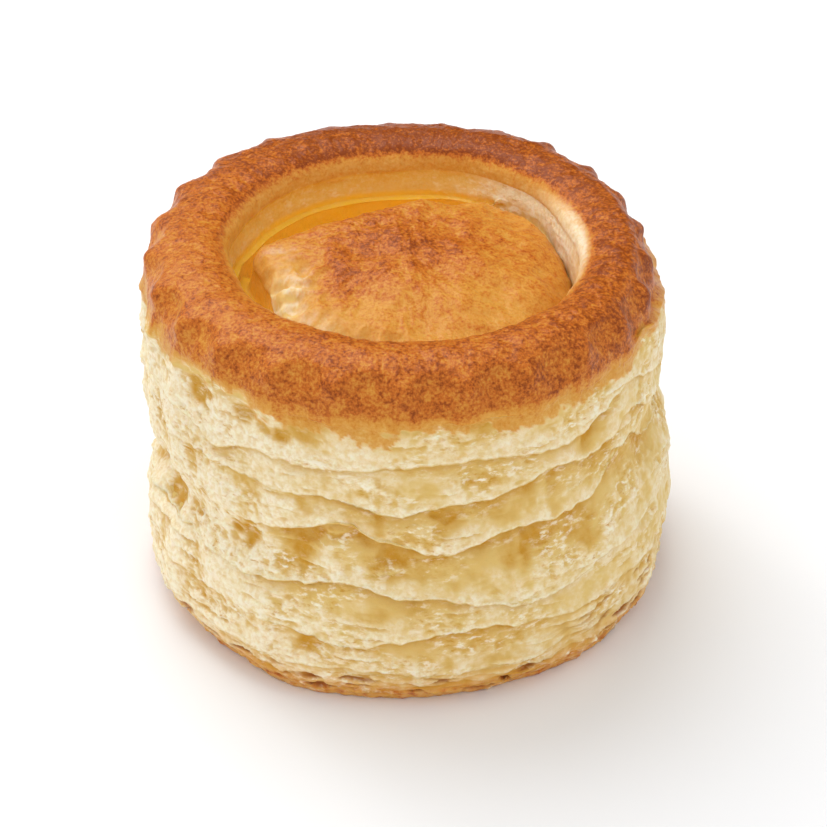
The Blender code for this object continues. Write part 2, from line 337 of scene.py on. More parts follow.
LEAVES = (
    Leaf("rim", 51.6, 0.06, 0.0,
         ((335.0, 7.0, 1.6), (213.0, 14.0, -0.8), (120.0, 25.0, 0.6)),
         ((224.0, 7.0, 0.9), (205.0, 5.0, 0.8), (251.0, 5.0, 0.5), (284.0, 6.0, 0.4),
          (60.0, 30.0, 0.3)), 0.5),
    Leaf("collar", 43.8, 0.35, 0.35,
         ((278.0, 12.0, 1.3), (326.0, 10.0, 4.2), (226.0, 7.0, -3.0), (150.0, 25.0, 1.2)),
         ((315.0, 6.5, 1.7), (284.0, 16.0, 0.7), (225.0, 7.0, 0.9), (20.0, 22.0, 1.0),
          (120.0, 20.0, 1.1)), 0.04),
    Leaf("upper fold", 38.0, 0.30, 0.45,
         ((267.0, 9.0, -2.3), (304.0, 8.0, 1.6), (328.0, 10.0, 3.2), (60.0, 22.0, 1.5)),
         ((270.0, 14.0, 1.3), (303.0, 14.0, 1.5), (40.0, 20.0, 1.2), (160.0, 18.0, 0.6)),
         0.0),
    Leaf("middle fold", 30.8, 0.30, 0.55,
         ((234.0, 8.0, -1.4), (255.0, 7.0, 2.8), (279.0, 9.0, -1.6), (327.0, 9.0, 6.0),
          (190.0, 14.0, -3.4), (80.0, 24.0, -2.0)),
         ((247.0, 6.0, 2.0), (262.0, 8.0, 1.9), (290.0, 16.0, 1.5), (318.0, 9.0, 1.2),
          (187.0, 18.0, 1.9), (95.0, 22.0, 1.5), (30.0, 15.0, 0.8)), 0.0),
    Leaf("belly", 20.6, 0.20, 0.30,
         ((257.0, 9.0, 2.0), (297.0, 14.0, -2.8), (350.0, 18.0, 2.0), (140.0, 22.0, -1.5)),
         ((258.0, 20.0, 0.9), (272.0, 5.0, 0.9), (10.0, 16.0, 0.6), (130.0, 20.0, 0.9)),
         0.0),
    Leaf("lower fold", 13.4, 0.20, 0.30,
         ((255.0, 9.0, -2.4), (283.0, 10.0, 2.0), (80.0, 22.0, 1.6)),
         ((283.0, 14.0, 1.0), (200.0, 14.0, 0.5), (70.0, 24.0, 0.8)), 0.0),
    Leaf("foot leaf", 6.8, 0.45, 0.15,
         ((307.0, 7.0, 1.3), (287.0, 9.0, -0.6), (352.0, 14.0, 3.0)),
         ((270.0, 22.0, 0.4), (308.0, 10.0, 0.5), (150.0, 30.0, 0.3)), 0.05),
    Leaf("upper sheet", 4.1, 0.45, 0.10,
         ((306.0, 7.0, 1.5), (352.0, 12.0, 2.2), (200.0, 20.0, 0.5)),
         ((262.0, 14.0, 0.3), (318.0, 16.0, 0.4), (100.0, 30.0, 0.3)), 0.12),
    Leaf("lower sheet", 2.2, 0.40, 0.05,
         ((310.0, 10.0, 0.5), (272.0, 8.0, 0.3)),
         ((272.0, 10.0, 0.4), (190.0, 20.0, 0.2)), 0.18),
)


# Torn hollows in the wall: bearing, height, spread in degrees, reach up and down, depth.
HOLLOWS = (
    (233.0, 26.5, 4.5, 2.2, 1.0), (245.5, 29.4, 3.0, 1.8, 0.8), (255.0, 31.3, 6.0, 1.0, 0.8),
    (266.5, 27.8, 3.0, 1.8, 0.9), (279.0, 35.3, 4.5, 0.9, 0.8), (220.6, 48.4, 3.5, 1.5, 0.9),
    (234.0, 49.2, 3.5, 1.3, 0.9), (241.0, 47.3, 2.5, 1.0, 0.6), (250.7, 10.7, 4.0, 1.5, 0.6),
    (331.8, 11.4, 4.0, 1.2, 0.7), (205.0, 22.0, 5.0, 2.0, 0.7), (60.0, 24.0, 6.0, 1.8, 0.9),
    (128.0, 33.0, 5.0, 1.6, 0.8))


@dataclass(frozen=True)
class Slice:
    """A run of leaves made as one closed mesh, parted from the next inside a crease."""

    name: str
    first: int
    last: int
    ring_gap: float


SLICES = (
    Slice("crown_and_collar", 0, 2, 0.33),
    Slice("middle_leaves", 2, 5, 0.20),
    Slice("foot_leaves", 5, len(LEAVES), 0.20),
)


@dataclass
class Band:
    """A run of rings of the skin. Every grid is rings by columns."""

    zone: Zone
    radius: Grid
    height: Grid
    bake: Grid | float = 0.0
    recess: Grid | float = 0.0
    butter: Grid | float = 0.0
    shade: Grid | float = 0.0


@dataclass
class Round:
    """The columns round the upright axis and the noise, which every part of the case shares."""

    columns: int = 600
    noise: CrumbNoise = field(default_factory=lambda: CrumbNoise(31))

    def __post_init__(self) -> None:
        """Lay out the columns round the case."""
        self.bearing = np.arange(self.columns) * 360.0 / self.columns
        self.turn = np.radians(self.bearing)


@dataclass
class Ring(Round):
    """The browned ring with the cutter's scallops, in millimetres and degrees.

    The crown is (radius, height) from its inner edge outwards, and it leans to +X.
    """

    lobes: int = 25
    lobe_bearing: float = 269.0
    flute_depth: float = 1.15
    flute_below: float = 0.18
    crown: tuple[tuple[float, float], ...] = (
        (27.6, 56.2), (27.9, 57.6), (29.2, 59.2), (32.4, 60.2), (35.9, 59.9), (38.6, 58.5),
        (40.0, 56.2), (40.7, 53.6))
    crown_lean: float = -1.0
    crown_swells: tuple[Side, ...] = (
        (6.0, 27.0, -1.7), (62.0, 12.0, 0.9), (127.0, 30.0, 1.1), (187.0, 26.0, -0.5))
    crown_wave: float = 0.35
    crown_sunk: Side = (20.0, 45.0, -0.5)
    crown_middle: float = 33.0
    crown_edge: float = 37.2
    crown_bake: float = 0.82
    crown_tones: tuple[Side, ...] = ((85.0, 55.0, 0.18), (350.0, 40.0, 0.08), (195.0, 45.0, -0.05))
    # The ring's inner edge is paler at the right, partly in the dough's own tone and partly as painted
    # light where it faces the lamps.
    crown_pale_and_painted_light: Side = (8.0, 30.0, 0.44)
    crown_rings: int = 42
    ring_inside: float = 27.5
    ring_nearer: Side = (4.0, 32.0, -1.3)
    ring_fade: float = 2.5

    def flute(self, bearing: Grid) -> Grid:
        """Give the cutter's scallops.

        Args:
            bearing: degrees round the case.

        Returns:
            About 1 at a lobe and -1 in a valley.
        """
        drift = 2.6 * np.sin(np.radians(2.0 * bearing + 35.0)) + 1.2 * wander(bearing, 5, 3, 9)
        turn = np.radians(self.lobes * (bearing - self.lobe_bearing) - drift * self.lobes * 0.35)
        rounded = np.cos(turn + 0.35 * np.sin(turn))
        return rounded * (0.85 + 0.25 * wander(bearing, 6, 5, 15))

    def ring_wave(self) -> Grid:
        """Give how far the ring rises and falls on its way round."""
        return self.crown_wave * wander(self.bearing, 11, 2, 9) + swells(self.bearing, self.crown_sunk)

    def ring_drift(self) -> Grid:
        """Give how far the ring's inner edge strays from round."""
        return 0.35 * wander(self.bearing, 95, 4, 12) + swells(self.bearing, self.ring_nearer)

    def crown_band(self) -> Band:
        """Make the browned ring from its inner edge over the top and down outside.

        Returns:
            The ring's band.
        """
        radii, heights = (np.array(values) for values in zip(*self.crown))
        run = np.concatenate([[0.0], np.cumsum(np.hypot(np.diff(radii), np.diff(heights)))])
        at = np.linspace(0.0, run[-1], self.crown_rings)
        radius = smooth_line(at, run, radii)[:, None]
        height = smooth_line(at, run, heights)[:, None]
        out = ease((radius - self.crown_middle) / 7.0)
        lean = self.crown_lean * np.cos(self.turn)
        moved = radius + (swells(self.bearing, *self.crown_swells) + lean) * out
        edge = ease((radius - self.crown_edge) / 2.0)
        edge = edge * (1.0 - (1.0 - self.flute_below) * ease((57.6 - height) / 3.0))
        moved = moved + self.flute_depth * edge * self.flute(self.bearing)
        moved = moved + self.ring_drift() * (1.0 - ease((radius - self.ring_inside) / self.ring_fade))
        level = height + self.ring_wave() * (0.6 + 0.4 * out)
        within = 1.0 - ease((radius - self.crown[0][0]) / 1.9)
        around = swells(self.bearing, *self.crown_tones)
        pale_and_painted_light = swells(self.bearing, self.crown_pale_and_painted_light)
        bake = self.crown_bake + around * (1.0 - within) - (0.36 + pale_and_painted_light) * within
        bake = bake - 0.03 * ease((57.5 - height) / 4.0) * out
        return Band(Zone.CROWN, moved, level, bake)


@dataclass
class Centre(Round):
    """The puffed centre, the torn gap beside it and the ring's inner wall.

    The falls are how fast the centre drops to the front, right, left and back.
    """

    ring: Ring = field(default_factory=Ring)
    dome_top: float = 58.0
    dome_peak: tuple[float, float] = (-2.0, 8.0)
    dome_falls: tuple[float, float, float, float] = (0.0062, 0.0069, 0.0042, 0.017)
    dome_dip: Spot = (26.0, -1.0, 5.0, 12.0, -1.2)
    dome_rings: int = 40
    dome_radius: float = 26.0
    dome_bulge: float = 0.45
    dome_turned_down: float = 1.5
    dome_torn: Spot = (-8.0, 10.0, 14.0, 8.0, 1.0)
    dome_creases: tuple[Spot, ...] = (
        (-18.0, -9.0, 6.0, 9.0, 2.7), (-7.0, -22.0, 11.0, 5.0, 1.7))
    dome_shy: Side = (196.0, 21.0, -3.6)
    # Bake spots; the pale ones on the torn left shoulder are partly paler folds and partly painted
    # light.
    dome_tones: tuple[Spot, ...] = (
        (-11.0, -8.0, 4.5, 5.0, 0.16), (-1.0, 2.0, 15.0, 9.0, 0.26),
        (-19.0, -10.0, 4.5, 8.0, -0.50), (-13.0, -19.0, 6.0, 4.0, -0.40),
        (0.0, -22.5, 12.0, 3.0, -0.34), (17.0, -12.0, 9.0, 9.0, -0.12))
    # Pale folds on the torn left shoulder, with painted highlights where they face the lamps.
    dome_pale_folds_and_highlights: tuple[Spot, ...] = (
        (-17.8, -9.0, 2.6, 6.0, 0.80), (-21.0, -13.0, 2.0, 4.0, 0.55),
        (-15.0, -17.0, 3.5, 2.2, 0.50), (-7.5, -20.8, 2.2, 1.6, 0.60),
        (0.0, -22.0, 3.0, 1.4, 0.40), (-20.0, 1.0, 3.0, 1.2, 0.35))
    groove: Side = (180.0, 38.0, 0.50)
    groove_softening: int = 60
    tear_bearing: float = 114.0
    tear_offset: float = 13.7
    tear_soft: float = 1.6
    least_gap: float = 1.8
    wide_gap: float = 7.8
    gap_floor: float = 45.0
    # The inner wall at the right is paler, partly in its own tone and partly as painted light where it
    # faces the lamps.
    inner_pale_and_painted_light: Side = (32.0, 30.0, 1.0)
    ledge_height: float = 51.6
    ledge_out: float = 0.65
    ledge_bead: float = 0.15
    inner_rings: int = 20

    def dome_edge(self) -> Grid:
        """Give the puffed centre's radius: round, but torn along a chord.

        Returns:
            The radius at every column, with soft corners where the chord meets the round.
        """
        across = np.cos(np.radians(wrapped(self.bearing - self.tear_bearing)))
        chord = self.tear_offset / np.maximum(across, 0.30) + 0.12 * wander(self.bearing, 90, 5, 15)
        joined = self.dome_radius + swells(self.bearing, self.dome_shy)
        soft = self.tear_soft
        return -soft * np.log(np.exp(-chord / soft) + np.exp(-joined / soft))

    def dome_height(self, x: Grid, y: Grid) -> Grid:
        """Give the height of the puffed centre's skin.

        Args:
            x: places across the case.
            y: places along it, from front to back.

        Returns:
            The height over every place.
        """
        front, right, left, back = self.dome_falls
        ahead = np.minimum(0.0, y - self.dome_peak[1])
        aside = x - self.dome_peak[0]
        behind = np.maximum(0.0, y - self.dome_peak[1]) * ease((x + 4.0) / 12.0)
        height = self.dome_top - front * ahead ** 2 - back * behind ** 2
        height = height - np.where(aside > 0.0, right, left) * aside ** 2
        height = height + mounds(x, y, self.dome_dip)
        folds = np.sin(0.42 * x + 0.25 * y + 1.0) * np.sin(0.30 * y - 0.18 * x + 0.4)
        height = height + self.dome_bulge * folds * (1.0 - mounds(x, y, self.dome_torn))
        ground = np.stack([x, y, 0.0 * x], axis=-1)
        for crease in self.dome_creases:
            crest = 0.30 - np.abs(self.noise.rough(ground + crease[0], 4.6, 2))
            height = height + mounds(x, y, crease) * crest
        return height

    def open_share(self) -> Grid:
        """Tell where the centre tore away from the ring.

        Returns:
            1 at the open gap, 0 where they are joined, and a share at the groove's slow end.
        """
        apart = self.ring.ring_inside - self.dome_edge()
        torn = ease((apart - self.least_gap) / (self.wide_gap - self.least_gap))
        share = np.maximum(torn, swells(self.bearing, self.groove))
        slow = share
        for _ in range(self.groove_softening):
            slow = 0.5 * slow + 0.25 * (np.roll(slow, 1) + np.roll(slow, -1))
        corner_at, spread, _ = self.groove
        return share + (slow - share) * swell(self.bearing, corner_at, 2.0 * spread)

    def centre_bake(self, x: Grid, y: Grid, share: Grid) -> Grid:
        """Brown the puffed centre most where it stands highest, least at its front edge.

        Args:
            x: places across the case.
            y: places along it, from front to back.
            share: how far out each ring is, 1 at the centre's edge.

        Returns:
            The bake at every place.
        """
        return 0.65 - 0.14 * ease((share - 0.86) / 0.14) + mounds(x, y, *self.dome_tones)

    def centre_bands(self) -> list[Band]:
        """Make the puffed centre, the gap beside it and the ring's inner wall.

        Returns:
            The centre's band, and one for the gap and the inner wall.
        """
        edge = self.dome_edge()
        gap = self.open_share()
        shares = (np.arange(1, self.dome_rings + 1) / self.dome_rings)[:, None] ** 0.9
        radius = edge * shares
        x, y = radius * np.cos(self.turn), radius * np.sin(self.turn)
        height = self.dome_height(x, y)
        height = height - 0.35 * ease((shares - 0.85) / 0.1)
        height = height - self.dome_turned_down * ease((shares - 0.93) / 0.07)
        dome = Band(Zone.CENTRE, radius, height, self.centre_bake(x, y, shares))

        floor = height[-1] * (1.0 - gap) + self.gap_floor * gap - 0.7 * (1.0 - gap)
        inside = self.ring.ring_inside + self.ring.ring_drift()
        foot_out = inside - 0.45 - 1.2 * gap
        foot_in = np.minimum(edge + 0.5 + 1.0 * gap, foot_out - 0.2)

        # Down from the centre's edge, across the gap's floor, and up the ring's inner wall.
        down = np.linspace(0.0, 1.0, 9)[1:, None]
        across = np.linspace(0.0, 1.0, 4)[1:-1, None]
        up = np.concatenate([np.linspace(0.0, 0.45, 8), np.linspace(0.47, 0.54, 11),
                             np.linspace(0.56, 1.0, self.inner_rings)[:-1]])[:, None]

        # A wet ledge with a small bead runs half-way up the wall on the open side.
        uneven = 1.0 + 0.35 * wander(self.bearing, 97, 4, 16)
        on = ease(gap / 0.42)
        ledge = self.ledge_out * on * uneven * (1.0 - ease((up - 0.50) / 0.04))
        ledge = ledge + self.ledge_bead * on * uneven * np.exp(-((up - 0.495) / 0.018) ** 2)
        back = ease((up - 0.55) / 0.45) * (0.45 + 1.2 * gap - self.ledge_out * on)
        base = floor + 0.2 + 0.6 * gap
        crown = self.ring.crown[0][1] + 0.6 * self.ring.ring_wave()
        ledge_at = self.ledge_height * on + 0.5 * (base + crown) * (1.0 - on)
        inner = np.where(up < 0.5, base + (ledge_at - base) * up / 0.5,
                         ledge_at + (crown - ledge_at) * (up - 0.5) / 0.5)
        gap_radius = np.concatenate([
            edge + (foot_in - edge) * down ** 1.5, foot_in + (foot_out - foot_in) * across,
            foot_out + back + (self.ledge_out * on - ledge) + 0.10 * ease(up / 0.55)])
        gap_height = np.concatenate([
            height[-1] + (floor - height[-1]) * down, floor + (0.2 + 0.6 * gap) * across, inner])

        # The gap is wet with butter, but the wall at the right is dry and pale, partly in its own tone
        # and partly as painted light where it faces the lamps.
        pale_and_painted_light = swells(self.bearing, self.inner_pale_and_painted_light)
        wet = ease(gap / 0.4)
        butter = np.concatenate([0.75 * wet * down ** 0.5, wet + 0.0 * across,
                                 wet * (1.0 - 0.72 * ease((up - 0.56) / 0.12)) + 0.0 * up])
        bake = np.concatenate([0.50 - 0.20 * down + 0.0 * gap, 0.25 + 0.0 * gap + 0.0 * across,
                               0.20 + 0.26 * up ** 3 + 0.0 * gap])
        top = ease((np.linspace(0.0, 1.0, len(bake)) - 0.7) / 0.3)[:, None]
        bake = bake - (0.20 + 0.26 * top) * pale_and_painted_light
        butter = butter * (1.0 - 0.9 * pale_and_painted_light)
        return [dome, Band(Zone.GAP, gap_radius, gap_height, bake, 0.3 * (1.0 - pale_and_painted_light), butter)]


@dataclass
class Wall(Round):
    """The leaves of the wall and the flat foot, in millimetres and degrees.

    The wall is (height, radius, lean to +X). Wall swells are (bearing, spread, height,
    reach up and down, amount).
    """

    ring: Ring = field(default_factory=Ring)
    wall: tuple[tuple[float, float, float], ...] = (
        (0.0, 39.6, -0.3), (1.2, 40.5, -0.3), (3.5, 42.1, -0.4), (7.0, 42.7, -0.3),
        (15.0, 42.8, 0.3), (20.5, 42.2, 0.5), (24.5, 41.2, 0.8), (29.0, 40.9, -0.2),
        (34.0, 40.9, -1.0), (38.0, 40.8, -1.1), (44.0, 41.0, -0.8), (49.0, 40.8, -0.9),
        (52.0, 40.8, -1.0), (56.0, 40.5, -1.0))
    wall_swells: tuple[tuple[float, ...], ...] = (
        (190.0, 30.0, 25.2, 3.6, -1.7), (348.0, 30.0, 32.0, 3.2, -1.5),
        (203.0, 16.0, 1.5, 3.0, -1.5), (243.0, 11.0, 0.0, 4.0, 1.3),
        (266.0, 13.0, 0.0, 3.0, 0.8), (318.0, 15.0, 0.0, 4.0, 0.7),
        (268.0, 30.0, 47.0, 5.0, 0.5))
    line_radius: float = 41.0
    lip_wander: float = 0.45
    least_leaf: float = 1.15
    fewest_rings: int = 5
    lip_ragged: float = 0.42
    lip_in_out: float = 0.22
    shelf: float = 0.45
    pocket_width: float = 6.5
    plain_sides: tuple[Side, ...] = ((210.0, 26.0, 0.85), (350.0, 12.0, 0.5))
    pleat_side: Side = (188.0, 42.0, 0.45)
    foot_round: float = 0.5
    foot_rings: int = 11
    foot_ragged: float = 0.35
    foot_inset: float = 1.44

    def wall_radius(self, height: Grid) -> Grid:
        """Give the wall's radius without its folds.

        Args:
            height: one height for every column.

        Returns:
            The radius at every column.
        """
        levels, radii, leans = zip(*self.wall)
        radius = np.interp(height, levels, radii)
        radius = radius + np.interp(height, levels, leans) * np.cos(self.turn)
        for centre, spread, level, reach, out in self.wall_swells:
            near = np.exp(-((height - level) / reach) ** 2)
            radius = radius + out * swell(self.bearing, centre, spread) * near
        return radius

    def wall_relief(self, height: Grid) -> Grid:
        """Give flutes under the rim, pleats down the left side and slow lumps.

        Args:
            height: one height for every column.

        Returns:
            How far they stand out of the plain wall.
        """
        top = ease((height - 44.0) / 8.0) * self.ring.flute_depth * self.ring.flute_below
        left = swells(self.bearing, self.pleat_side)
        low = ease((18.0 - height) / 14.0)
        pleats = self.ring.flute(self.bearing + 0.08 * (50.0 - height))
        lumps = wander(self.bearing + 0.9 * height, 21, 4, 14) * 0.35
        return pleats * (top + left * (1.0 - 0.7 * low)) + lumps

    def edge_line(self, level: float | Grid) -> Grid:
        """Give points round the wall at a level, to read noise at."""
        return np.stack([self.line_radius * np.cos(self.turn), self.line_radius * np.sin(self.turn),
                         level + 0.0 * self.turn], axis=-1)

    @cached_property
    def lips(self) -> list[Grid]:
        """Give the height of each leaf's lower lip.

        Returns:
            One row of heights for each leaf, in order from the top.
        """
        rows: list[Grid] = []
        for index, leaf in enumerate(LEAVES):
            thin = min(1.0, leaf.lip / 14.0)
            drift = self.lip_wander * (0.35 + 0.65 * thin) * wander(self.bearing, 40 + index)
            height = leaf.lip + drift + swells(self.bearing, *leaf.lifts)
            if index == 0:
                height = height - 0.2 * self.ring.flute(self.bearing)
            else:
                height = np.minimum(height, rows[-1] - self.least_leaf * (0.4 + 0.6 * thin))
            ragged = self.noise.rough(self.edge_line(60.0 * index), 3.4, 4)
            rows.append(height + ragged * self.lip_ragged * (0.45 + 0.55 * thin))
        for upper, lower in zip(rows[:-1], rows[1:]):
            np.minimum(lower, upper - 0.35 * self.least_leaf, out=lower)
        return rows

    @cached_property
    def steps(self) -> list[Grid]:
        """Give how far the wall steps in under each lip, in pockets with webs between.

        Returns:
            One row of depths for each leaf, in order from the top.
        """
        rows: list[Grid] = []
        for index, leaf in enumerate(LEAVES):
            depth = leaf.least_step * (1.0 + 0.3 * wander(self.bearing, 70 + index))
            depth = depth + swells(self.bearing, *leaf.openings)
            pocket = self.noise.rough(self.edge_line(60.0 * index + 25.0), self.pocket_width, 3)
            closed = 0.60 if leaf.lip > 10.0 else 0.10
            depth = depth * (closed + 1.25 * (1.0 - closed) * ease(closed - 0.1 + 1.2 * pocket))
            for centre, spread, share in self.plain_sides:
                depth = depth * (1.0 - share * swell(self.bearing, centre, spread))
            rows.append(np.clip(depth, 0.06, 2.8))
        return rows

    def leaf_band(self, index: int, ring_gap: float) -> Band:
        """Make one leaf: its face from crease to lip, then the fold under the lip.

        Args:
            index: the leaf's place in the wall, from the top.
            ring_gap: mean distance between rings down the face.

        Returns:
            The leaf's rings.
        """
        leaf, lip, step = LEAVES[index], self.lips[index], self.steps[index]
        above = self.lips[index - 1] if index else lip + 2.0
        below = self.lips[index + 1] if index + 1 < len(LEAVES) else 0.0 * lip
        thick = np.minimum(0.42, 0.3 * (above - lip))
        hook = np.minimum(0.5 * (step - self.shelf), 0.3 * np.minimum(above - lip, lip - below))
        bare = self.wall_radius(lip) + self.wall_relief(lip) + leaf.bulge
        ragged = self.noise.rough(self.edge_line(60.0 * index + 40.0), 2.6, 2)
        out = bare + self.lip_in_out * ragged
        rows: list[tuple[Grid, Grid, Grid, float | Grid]] = []
        if index:
            start, inset = self.crease(index)
            rings = max(self.fewest_rings, round(float((start - lip).mean()) / ring_gap))
            reach = 0.5 + 0.9 * inset
            for share in np.linspace(0.0, 1.0, rings)[1:-1]:
                height = start + (lip + thick - start) * share
                fall = 1.5 + 1.1 * self.noise.rough(self.edge_line(height + 90.0 * index), 5.0, 2)
                recess = inset * (1.0 - share) ** np.clip(fall, 0.7, 3.0)
                face = self.wall_radius(height) + self.wall_relief(height) - recess
                edge = (out - bare) * ease((share - 0.6) / 0.4)
                shade = np.clip(inset / 0.5, 0.0, 1.0) * np.exp(-(start - height) / reach)
                rows.append((face + leaf.bulge * share + edge, height, recess, shade))

        # The lip rounds under, and its fold runs in and up to the crease of the next leaf.
        for inward, rise, share in ((0.0, thick, 0.0), (0.04, 0.35 * thick, 0.1),
                                    (0.16, 0.02, 0.35), (0.55, 0.35 * hook, 0.8),
                                    (1.0, hook, 1.0)):
            rows.append((out - step * inward, lip + rise, step * share,
                         np.clip(step / 0.4, 0.0, 1.0) * share ** 0.5))
        radius, height, recess, shade = (np.stack([row[part] + 0.0 * lip for row in rows])
                                         for part in range(4))
        zone = Zone.CROWN if index == 0 else (Zone.BASE if leaf.lip < 5.0 else Zone.WALL)
        return Band(zone, radius, height, leaf.bake, recess, shade=shade)

    def crease(self, index: int) -> tuple[Grid, Grid]:
        """Find the crease that a leaf's face starts in.

        Args:
            index: the leaf's place in the wall, from the top.

        Returns:
            The crease's height and depth at every column.
        """
        upper = self.lips[index - 1]
        above = self.lips[index - 2] if index > 1 else upper + 2.0
        hook = np.minimum(0.5 * (self.steps[index - 1] - self.shelf),
                          0.3 * np.minimum(above - upper, upper - self.lips[index]))
        return upper + hook, self.steps[index - 1]

    def hidden_band(self, index: int, lid: bool) -> Band:
        """Close a slice inside the case at a leaf's upper crease.

        Args:
            index: the leaf under the crease.
            lid: whether the slice lies below the crease, and so needs a lid.

        Returns:
            The rings from the crease inwards, or outwards for a lid.
        """
        height, inset = self.crease(index)
        radius = self.wall_radius(height) + self.wall_relief(height) - inset

        # Each ring lies so far inwards of the crease and so far above it.
        ways = ((6.0, 1.1), (0.7, 1.1), (0.25, 0.3)) if lid else ((0.5, 0.05), (4.0, 0.1))
        rows = [(radius - inward, height + rise) for inward, rise in ways]
        return Band(Zone.HIDDEN, np.stack([row[0] for row in rows]),
                    np.stack([row[1] for row in rows]), recess=inset, shade=1.0)

    def foot_band(self) -> Band:
        """Make the lowest sheet's edge and the flat underside.

        Returns:
            The band from under the last lip to the middle of the underside.
        """
        lip, step, last = self.lips[-1], self.steps[-1], LEAVES[-1]
        ragged = self.foot_ragged * self.noise.rough(self.edge_line(0.0), 2.6, 3)
        level = np.full_like(lip, self.foot_round)
        foot = self.wall_radius(level) + self.wall_relief(level) + ragged
        inner = foot - self.foot_inset
        ground = np.zeros_like(foot)
        share = np.linspace(0.0, 1.0, self.foot_rings)[1:, None]
        side_height = lip + (self.foot_round - lip) * share
        side = np.stack([self.wall_radius(row) + self.wall_relief(row) for row in side_height])
        side = side - (step - last.bulge * 0.5) * (1.0 - share) ** 3 + ragged * share
        radius = np.concatenate([side, [0.6 * foot + 0.4 * inner, inner, inner * 0.93, inner * 0.6]])
        height = np.concatenate([side_height, [ground + 0.16 * self.foot_round] + [ground] * 3])
        return Band(Zone.BASE, radius, height, 0.16)


@dataclass
class CaseShape(Round):
    """The whole case, put together from its parts."""

    ring: Ring = field(default_factory=Ring)

    def __post_init__(self) -> None:
        """Build the centre and the wall round the same ring."""
        super().__post_init__()
        self.centre = Centre(ring=self.ring)
        self.wall = Wall(ring=self.ring)

    def bands(self, part: Slice) -> list[Band]:
        """Give the bands of a slice.

        Args:
            part: the slice.

        Returns:
            Its bands, from its top pole to its bottom one.
        """
        top = [*self.centre.centre_bands(), self.ring.crown_band()] if part.first == 0 \
            else [self.wall.hidden_band(part.first, lid=True)]
        leaves = [self.wall.leaf_band(index, part.ring_gap) for index in range(part.first, part.last)]
        foot = self.wall.foot_band() if part.last == len(LEAVES) \
            else self.wall.hidden_band(part.last, lid=False)
        return [*top, *leaves, foot]


